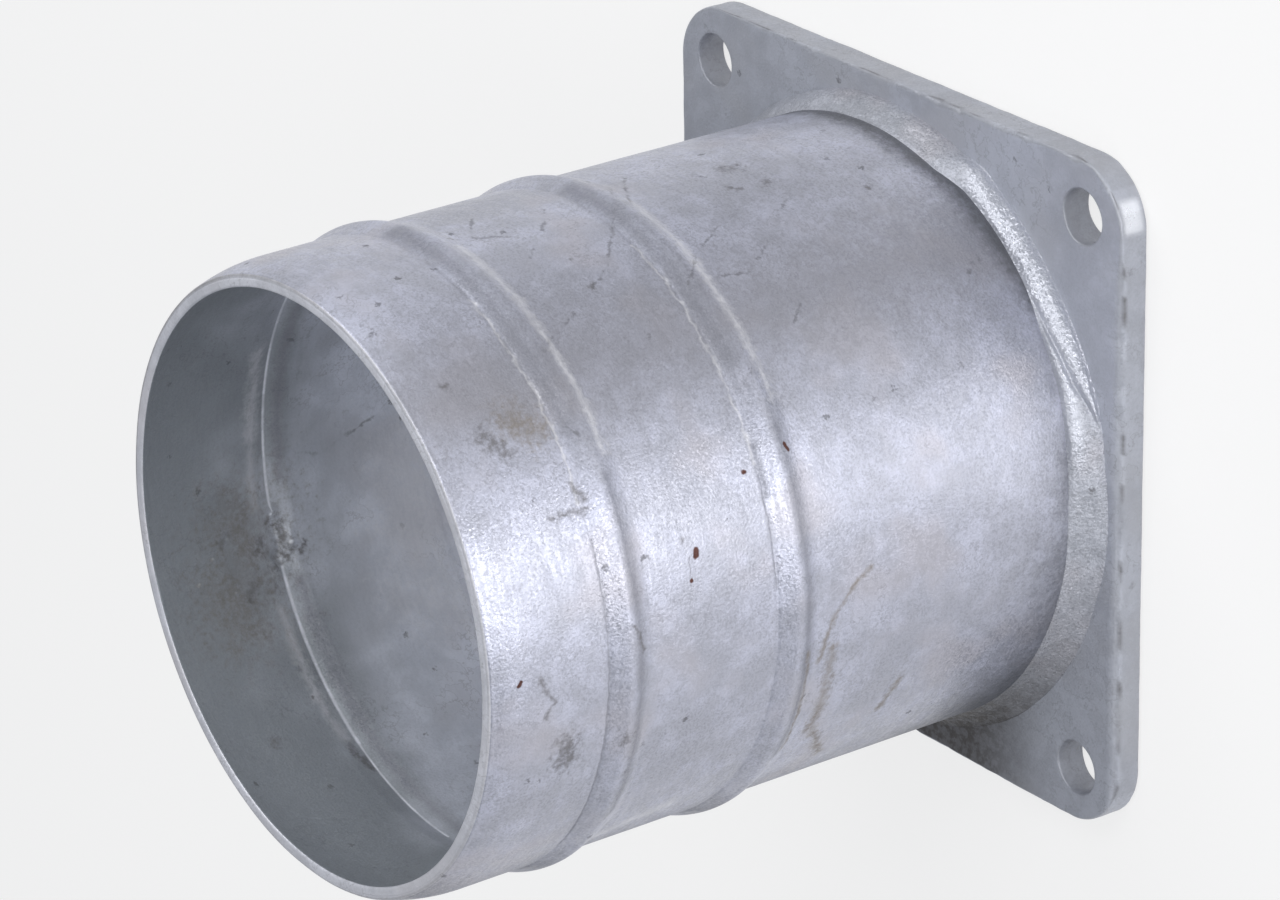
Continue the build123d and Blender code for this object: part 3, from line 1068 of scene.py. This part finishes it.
@dataclass
class FlangePlate:
    """The cut square plate: four bolt holes, a hole for the tube and a burred front edge.

    A nick is its place on the outline, its depth and its width. A pair of spans says where a form or a
    finish begins and where it ends.
    """

    side: float = 170.0
    thickness: float = 8.0
    corner_radius: float = 16.0
    edge_round: float = 0.7
    tube_hole_radius: float = 76.75
    hole_radius: float = 6.75
    hole_spacing: float = 142.0
    hole_round: float = 0.5
    point_gap: float = 1.15
    side_points: int = 132
    corner_points: int = 28
    bore_points: int = 420
    hole_points: int = 48
    edge_band: float = 0.6
    clear_band: float = 2.2
    worn_top: float = 0.55
    worn_top_x: Spans = ((12.0, 14.0), (46.0, 58.0))
    worn_right: float = 1.8
    worn_right_end: Span = (56.0, 66.0)
    # Where the painted shadow with dirt lies on the front face below the tube.
    shadow_and_dirt_x: Spans = ((-40.0, 0.0), (28.0, 66.0))
    shadow_and_dirt_top: Span = (-66.0, -40.0)
    shadow_and_dirt_strength: float = 0.95
    glint_turn: Spans = ((1.0, 8.0), (28.0, 36.0))
    glint_height: Spans = ((0.6, 2.4), (6.0, 7.4))
    noise_span: float = 400.0
    rounding_waves: tuple[Wave, ...] = (Wave(0.4, (75, 1), 61), Wave(0.3, (200, 1), 62))
    front_waves: tuple[Wave, ...] = (
        Wave(0.05, (44, 44), 71), Wave(0.022, (130, 130), 72), Wave(0.012, (320, 320), 73))
    side_waves: tuple[Wave, ...] = (Wave(0.07, (150, 3), 81), Wave(0.04, (420, 5), 82))
    side_shift: float = 0.04
    side_limit: float = 0.15
    broken_wave: Wave = Wave(1.0, (170, 1), 83)
    broken_ring: int = 10
    hole_wave: float = 0.12
    hole_shade_and_dirt: float = 0.22
    nicks: tuple[tuple[float, float, float, float], ...] = (
        (-30.0, 85.0, 0.7, 2.0), (11.0, 85.0, 0.9, 1.4), (18.0, 85.0, 0.6, 1.8), (26.0, 85.0, 0.5, 1.0),
        (51.0, 85.0, 0.7, 1.6), (68.0, 85.0, 0.8, 1.8), (79.0, 80.0, 0.7, 1.4), (85.0, 44.0, 0.5, 1.2),
        (85.0, 32.0, 0.6, 1.0), (85.0, 25.0, 0.4, 2.2), (85.0, 10.0, 0.5, 1.2), (85.0, -58.0, 0.5, 1.5))

    def outline(self, inset: np.ndarray | float) -> np.ndarray:
        """The rounded square, counter-clockwise, drawn in by an inset at each point.

        One quarter is a straight side and a corner arc; the others are it turned by right angles.
        """
        half = 0.5 * self.side
        straight = half - self.corner_radius
        line = half + 1j * np.linspace(-straight, straight, self.side_points, endpoint=False)
        turn = np.radians(np.linspace(0.0, 90.0, self.corner_points, endpoint=False))
        arc = straight + 1j * straight + self.corner_radius * np.exp(1j * turn)
        quarter = np.concatenate((line, arc))
        whole = np.concatenate([quarter * 1j**k for k in range(4)])
        outward = np.concatenate((np.ones(line.size), np.exp(1j * turn)))
        out = np.concatenate([outward * 1j**k for k in range(4)])
        drawn = whole - np.asarray(inset) * out
        return np.column_stack((drawn.real, drawn.imag))

    def rounding(self) -> np.ndarray:
        """The front edge's rounding at each outline point, wider at its nicks."""
        points = self.outline(0.0)
        turns = np.arange(len(points)) / len(points)
        flat = np.full(len(points), 0.5)
        size = self.edge_round * (1.0 + layered(self.rounding_waves, turns, flat))
        for x, y, deep, wide in self.nicks:
            size += deep * bell(np.hypot(points[:, 0] - x, points[:, 1] - y), wide)
        top = plateau(points[:, 0], *self.worn_top_x) * (points[:, 1] > 80.0)
        right = step_up(points[:, 0], 83.0, 85.0) * (1.0 - step_up(points[:, 1], *self.worn_right_end))
        return size + self.worn_top * top + self.worn_right * right

    def hole_centres(self) -> np.ndarray:
        """The four bolt holes' centres."""
        return 0.5 * self.hole_spacing * np.array(((1, 1), (-1, 1), (-1, -1), (1, -1)), dtype=float)

    @staticmethod
    def circle(centre: np.ndarray, radius: float, count: int) -> np.ndarray:
        """Points of a circle, counter-clockwise."""
        turn = np.arange(count) * (TURN / count)
        return centre + radius * np.column_stack((np.cos(turn), np.sin(turn)))

    def face_net(self, edge: np.ndarray) -> tuple[np.ndarray, np.ndarray, list[int]]:
        """Joins the face's edges by an even net of triangles.

        Args:
            edge: the outline's points on the face.

        Returns:
            The net's points, its triangles, and how many points each loop has: the outline's, the
            tube hole's and the bolt holes', in that order at the front of the points.
        """
        holes = self.hole_centres()
        hole_edge = self.hole_radius + self.hole_round
        loops = [edge, self.circle(np.zeros(2), self.tube_hole_radius, self.bore_points)]
        loops += [self.circle(centre, hole_edge, self.hole_points) for centre in holes]
        loops.append(edge - self.edge_band * loop_normals(edge))
        gap = self.point_gap
        clear = 0.6 * gap
        count = int(self.side / gap) + 2
        i, j = np.meshgrid(np.arange(count), np.arange(int(count * 1.16)), indexing="ij")
        net = np.stack(((i + 0.5 * (j % 2)) * gap, j * gap * 0.866), -1).reshape(-1, 2) - 0.5 * self.side
        past = np.abs(net) - (0.5 * self.side - self.corner_radius)
        inside = self.corner_radius - np.linalg.norm(np.maximum(past, 0.0), axis=1)
        inside -= np.minimum(past.max(1), 0.0)
        keep = inside > self.clear_band + clear
        keep &= np.linalg.norm(net, axis=1) > self.tube_hole_radius + clear
        for centre in holes:
            keep &= np.linalg.norm(net - centre, axis=1) > hole_edge + clear
        points = np.vstack(loops + [net[keep]])
        sizes = [len(loop) for loop in loops]
        starts = np.cumsum([0] + sizes[:-1])
        sides = np.vstack([
            np.column_stack((start + np.arange(size), start + (np.arange(size) + 1) % size))
            for start, size in zip(starts, sizes)
        ])
        found = delaunay_2d_cdt([Vector(p) for p in points], sides.tolist(), [], 1, 1e-6)
        source = np.array([where[0] for where in found[3]])
        triangles = source[np.array(found[2])]
        middle = points[triangles].mean(1)
        keep = np.linalg.norm(middle, axis=1) > self.tube_hole_radius - 0.02
        for centre in holes:
            keep &= np.linalg.norm(middle - centre, axis=1) > hole_edge - 0.05
        return points, triangles[keep], sizes

    def front_relief(self, points: np.ndarray) -> np.ndarray:
        """The zinc's waves on the front face."""
        u, v = points.T / self.noise_span + 0.5
        return layered(self.front_waves, u, v)

    def edge_rings(self, size: np.ndarray) -> list[np.ndarray]:
        """Rings of the plate's side from the back face's edge to the front face's edge, without those two.

        Each ring is the outline drawn in along a quarter arc of the rounding, then waved by the zinc.
        """
        turns = np.arange(size.size) / size.size
        rings = []
        bends = np.radians((22.5, 45.0, 67.5))
        back = np.minimum(size, self.edge_round)
        levels = [(back * (1.0 - math.sin(a)), back * (1.0 - math.cos(a))) for a in bends]
        for share in np.linspace(0.0, 1.0, 7):
            levels.append((np.zeros_like(size), back + share * (self.thickness - size - back)))
        levels += [
            (size * (1.0 - math.sin(a)), self.thickness - size * (1.0 - math.cos(a))) for a in bends[::-1]
        ]
        for inset, z in levels:
            rough = layered(self.side_waves, turns, z / self.thickness) - self.side_shift
            ring = self.outline(inset + np.maximum(-self.side_limit, -rough))
            rings.append(np.column_stack((ring, z)))
        return rings

    def build(self) -> bpy.types.Object:
        """Joins the front net, the back net, the side and the hole walls into one closed plate.

        Returns:
            The plate.
        """
        size = self.rounding()
        flat, triangles, counts = self.face_net(self.outline(size))
        front = np.column_stack((flat, self.thickness + self.front_relief(flat)))
        back = np.column_stack((flat, np.zeros(len(flat))))
        points = [back, front]
        faces: list[list[int]] = triangles[:, ::-1].tolist() + (triangles + len(flat)).tolist()
        used = 2 * len(flat)
        starts = np.cumsum([0] + counts[:-1])

        def wall(first: np.ndarray, rings: list[np.ndarray], last: np.ndarray) -> None:
            """Adds rings of points and the quads from a first edge through them to a last edge."""
            nonlocal used, points, faces
            count = len(first)
            ids = [first] + [used + k * count + np.arange(count) for k in range(len(rings))] + [last]
            points += rings
            used += len(rings) * count
            faces += self.strip(np.array(ids))

        edge = np.arange(counts[0])
        rings = self.edge_rings(size)
        wall(edge, rings, edge + len(flat))
        bore = starts[1] + np.arange(counts[1])
        wall(bore + len(flat), [], bore)
        for centre, start, count in zip(self.hole_centres(), starts[2:], counts[2:]):
            edge = start + np.arange(count)
            wall(edge + len(flat), self.hole_rings(centre, count), edge)
        piece = new_piece("square_plate", np.vstack(points) * MM, faces)
        self.weather(piece, flat, rings, used)
        return piece

    def weather(self, piece: bpy.types.Object, flat: np.ndarray, rings: list[np.ndarray], used: int) -> None:
        """Stores the painted shadow with dirt below the tube, the side's dirt, the darker hole walls and the
        painted highlight on the upper right corner.

        Args:
            piece: the plate, whose points are the back face's, the front's, the side's and the holes'.
            flat: the points of one face.
            rings: the rings of the side.
            used: how many points the plate has.
        """
        count = len(rings[0])
        rim = np.vstack(rings)
        first = 2 * len(flat)
        last = first + len(rim)
        # Painted shadow with dirt on the front face below the tube, where the tube's shadow falls.
        shadow_and_dirt = plateau(flat[:, 0], *self.shadow_and_dirt_x)
        shadow_and_dirt *= 1.0 - step_up(flat[:, 1], *self.shadow_and_dirt_top)
        # The side's dirt, heavier on the top side; the right side is made darker as well.
        side = 0.06 + 0.14 * (rim[:, 1] > 80.0) + 0.1 * (rim[:, 0] > 84.0)
        broken = self.broken_wave.at(np.arange(count) / count, np.full(count, 0.5))
        start = self.broken_ring * count
        side[start:start + count] = 0.75 * step_up(broken, -0.25, 0.5)
        dirt_and_shade = np.zeros(used)
        dirt_and_shade[len(flat):first] = self.shadow_and_dirt_strength * shadow_and_dirt
        dirt_and_shade[first:last] = side
        # The hole walls are darker, with painted shade and dirt.
        dirt_and_shade[last:] = self.hole_shade_and_dirt
        store_values(piece, DIRT_AND_SHADE, dirt_and_shade)

        # Painted highlight on the side at the upper right corner.
        straight = 0.5 * self.side - self.corner_radius
        turn = np.degrees(np.arctan2(rim[:, 1] - straight, rim[:, 0] - straight))
        polish_and_highlight = np.zeros(used)
        polish_and_highlight[first:last] = plateau(turn, *self.glint_turn)
        polish_and_highlight[first:last] *= plateau(rim[:, 2], *self.glint_height)
        store_values(piece, POLISH_AND_HIGHLIGHT, polish_and_highlight)

    def hole_rings(self, centre: np.ndarray, count: int) -> list[np.ndarray]:
        """Rings down a bolt hole's wall, rounded at both ends and waved by the zinc."""
        r = self.hole_round
        seed = abs(int(90 + centre[0] + 3 * centre[1]))
        turns = np.arange(count) / count
        bends = np.radians((30.0, 60.0))
        levels = [(r * (1.0 - math.sin(a)), self.thickness - r * (1.0 - math.cos(a))) for a in bends]
        levels += [(0.0, z) for z in np.linspace(self.thickness - r, r, 5)]
        levels += [(inset, self.thickness - z) for inset, z in levels[1::-1]]
        around = self.circle(np.zeros(2), 1.0, count)
        rings = []
        for inset, z in levels:
            wave = Wave(self.hole_wave, (9, 3), seed).at(turns, np.full(count, z / self.thickness))
            ring = centre + around * (self.hole_radius + inset + wave)[:, None]
            rings.append(np.column_stack((ring, np.full(count, z))))
        return rings

    @staticmethod
    def strip(rings: np.ndarray) -> list[list[int]]:
        """Quads between rings of vertex indices, in the order given."""
        right = np.roll(rings, -1, 1)
        quads = np.stack((rings[:-1], right[:-1], right[1:], rings[1:]), -1)
        return quads.reshape(-1, 4).tolist()

    def dress(self, piece: bpy.types.Object) -> None:
        """Gives the plate its zinc, with a painted highlight on the upper right corner and painted shade
        with dirt below the tube and in the holes.
        """
        finish = ZincFinish("zinc_plate", light=(0.485, 0.505, 0.568, 1.0), dark=(0.405, 0.42, 0.472, 1.0),
                            warm=(0.44, 0.45, 0.49, 1.0), rough_low=0.36, rough_high=0.56, metal=0.35,
                            facet=0.1, grit=0.08, painted_highlight=(0.86, 0.88, 0.94, 1.0), dirt_and_shade=DIRT_AND_SHADE_COLOUR)
        piece.data.materials.append(finish.material())


@dataclass(frozen=True)
class SoftBox:
    """A rectangular lamp: its place in metres, what it faces, its size and its power."""

    name: str
    place: Triple
    aim: Triple
    size: tuple[float, float]
    power: float
    long_way: Triple = (0.0, 0.0, 1.0)

    def hang(self) -> None:
        """Puts the lamp in the scene, facing its aim, with its height along its long way."""
        data = bpy.data.lights.new(self.name, "AREA")
        data.shape = "RECTANGLE"
        data.size, data.size_y = self.size
        data.energy = self.power
        lamp = bpy.data.objects.new(self.name, data)
        lamp.visible_camera = False
        away = (Vector(self.place) - Vector(self.aim)).normalized()
        across = Vector(self.long_way).cross(away).normalized()
        turn = Matrix((across, away.cross(across), away)).transposed().to_4x4()
        lamp.matrix_world = Matrix.Translation(self.place) @ turn
        bpy.context.scene.collection.objects.link(lamp)


@dataclass(frozen=True)
class Studio:
    """The pale floor, the soft light and the camera at the photograph's angle."""

    camera_place: Triple = (1.00314, 0.53669, 0.80236)
    camera_right: Triple = (0.588906, -0.020363, -0.807945)
    camera_up: Triple = (-0.306791, 0.919226, -0.246785)
    lens: float = 158.577
    sensor: float = 36.0
    clip: Span = (0.05, 50.0)
    floor_rings: tuple[float, ...] = (0.02, 0.1, 0.3, 1.0, 5.0)
    floor_columns: int = 96
    floor_drop: float = 0.0004
    floor_colour: Colour = (0.9, 0.9, 0.9, 1.0)
    floor_shade: Colour = (0.52, 0.52, 0.53, 1.0)
    shade_way: Triple = (0.199, 0.98, 0.0)
    shade_span: Span = (0.72, 0.97)
    shade_reach: Span = (0.102, 0.17)
    shade_end: Span = (0.7, 0.2)
    frame_way: Triple = (-0.25, 0.968, 0.0)
    floor_glow: float = 0.72
    sky_colour: Colour = (0.92, 0.95, 1.0, 1.0)
    sky_strength: float = 0.37
    horizon_glow: float = 0.26
    horizon_span: Span = (-0.1, 0.5)
    horizon_rise: Span = (0.35, 0.0)
    horizon_way: Triple = (0.94, -0.34, 0.0)
    lamps: tuple[SoftBox, ...] = (
        SoftBox("near_kicker", (0.134, 0.033, 0.01), (0.134, 0.033, 1.0), (0.06, 0.08), 0.013,
                (0.972, 0.233, 0.0)),
        SoftBox("far_kicker", (0.37, 0.089, 0.01), (0.37, 0.089, 1.0), (0.16, 0.3), 0.34,
                (0.972, 0.233, 0.0)),
        SoftBox("nose_box", (0.85, -0.03, 0.03), (0.0, 0.0, 0.17), (0.14, 0.3), 0.6, (0.0, 1.0, 0.0)),
        SoftBox("side_box", (1.5, 0.36, 0.3), (0.0, 0.0, 0.1), (0.7, 0.6), 5.0),
        SoftBox("upper_box", (0.57, 0.85, 0.8), (0.0, 0.0, 0.06), (0.5, 0.5), 3.4),
        SoftBox("right_box", (1.15, 0.28, 1.15), (0.0, 0.0, 0.06), (0.5, 0.5), 3.4),
        SoftBox("edge_box", (0.75, -0.55, 1.05), (0.0, 0.0, 0.02), (0.25, 0.25), 0.8),
        SoftBox("top_box", (-0.35, 1.1, 0.75), (0.0, 0.0, 0.06), (0.9, 0.9), 6.4),
    )

    def set_camera(self) -> None:
        """Makes the camera from its right and up directions."""
        right = Vector(self.camera_right).normalized()
        up = Vector(self.camera_up).normalized()
        back = right.cross(up).normalized()
        data = bpy.data.cameras.new("photo_camera")
        data.sensor_width = self.sensor
        data.lens = self.lens
        data.clip_start, data.clip_end = self.clip
        camera = bpy.data.objects.new("photo_camera", data)
        turn = Matrix((right, back.cross(right), back)).transposed().to_4x4()
        camera.matrix_world = Matrix.Translation(self.camera_place) @ turn
        bpy.context.scene.collection.objects.link(camera)
        bpy.context.scene.camera = camera

    def lay_floor(self) -> None:
        """Lays a round pale floor under the flange's back face.

        Rings of points on circles of growing radius make it; the look is white to the camera and in
        reflections, and it keeps part of the object's shadow. A soft grey sector of painted shade lies on
        one side, beyond the camera's frame, so the metal mirrors a darker floor there.
        """
        rings, columns = len(self.floor_rings), self.floor_columns
        theta = np.arange(columns) * (TURN / columns)
        radius = np.array(self.floor_rings)[:, None] / MM
        points = spun(radius, np.full((rings, 1), -self.floor_drop / MM), theta[None, :])
        faces = ring_faces(rings, columns, False)[:, ::-1].tolist() + [list(range(columns))]
        floor = new_piece("pale_floor", points, faces)
        made = bpy.data.materials.new("pale_floor")
        made.use_nodes = True
        desk = NodeDesk(made.node_tree)
        made.node_tree.nodes.remove(made.node_tree.nodes["Principled BSDF"])
        ray = desk.add("ShaderNodeLightPath").outputs
        seen = desk.math("MAXIMUM", ray["Is Camera Ray"], ray["Is Glossy Ray"])
        seen = desk.math("MAXIMUM", seen, ray["Is Transmission Ray"])
        matt = desk.add("ShaderNodeBsdfDiffuse")
        glow = desk.add("ShaderNodeEmission")
        glow.inputs["Strength"].default_value = 1.0
        at = desk.add("ShaderNodeTexCoord").outputs["Object"]
        way = desk.vector("NORMALIZE", at)
        # Painted shade: a soft grey sector on one side, beyond the camera's frame, fading out far away.
        side = desk.span(desk.vector("DOT_PRODUCT", way, self.shade_way), *self.shade_span)
        beyond = desk.span(desk.vector("DOT_PRODUCT", at, self.frame_way), *self.shade_reach)
        side = desk.times(desk.times(side, beyond), desk.span(desk.vector("LENGTH", at), *self.shade_end))
        desk.feed(matt.inputs["Color"], desk.blend(side, self.floor_colour, self.floor_shade))
        desk.feed(glow.inputs["Color"], desk.blend(side, WHITE, self.floor_shade))
        both = desk.add("ShaderNodeMixShader")
        desk.feed(both.inputs[0], desk.times(seen, self.floor_glow))
        desk.feed(both.inputs[1], matt.outputs[0])
        desk.feed(both.inputs[2], glow.outputs[0])
        desk.feed(made.node_tree.nodes["Material Output"].inputs["Surface"], both.outputs[0])
        floor.data.materials.append(made)

    def light(self) -> None:
        """Hangs the lamps and sets the sky, paler at one side of the horizon, and the plain view."""
        for lamp in self.lamps:
            lamp.hang()
        world = bpy.data.worlds.new("studio_sky")
        world.use_nodes = True
        sky = world.node_tree.nodes["Background"]
        sky.inputs["Color"].default_value = self.sky_colour
        desk = NodeDesk(world.node_tree)
        way = desk.add("ShaderNodeTexCoord").outputs["Generated"]
        rise = desk.split(way, "ShaderNodeSeparateXYZ")[2]
        facing = desk.vector("DOT_PRODUCT", way, self.horizon_way)
        glow = desk.span(facing, *self.horizon_span, 0.0, self.horizon_glow)
        glow = desk.times(glow, desk.span(rise, *self.horizon_rise))
        desk.feed(sky.inputs["Strength"], desk.plus(glow, self.sky_strength))
        bpy.context.scene.world = world
        bpy.context.scene.view_settings.view_transform = "Standard"


def main() -> None:
    """Builds and dresses the pieces in order, then the studio round them."""
    logging.basicConfig(level=logging.INFO, format="%(message)s")
    parts = {"spigot_tube": SpigotTube(), "flange_weld": FlangeWeld(), "flange_plate": FlangePlate()}
    for node, part in parts.items():
        piece = part.build()
        part.dress(piece)
        enter(piece, node)
    studio = Studio()
    studio.set_camera()
    studio.lay_floor()
    studio.light()
    bpy.context.view_layer.update()


if __name__ == "__main__":
    main()
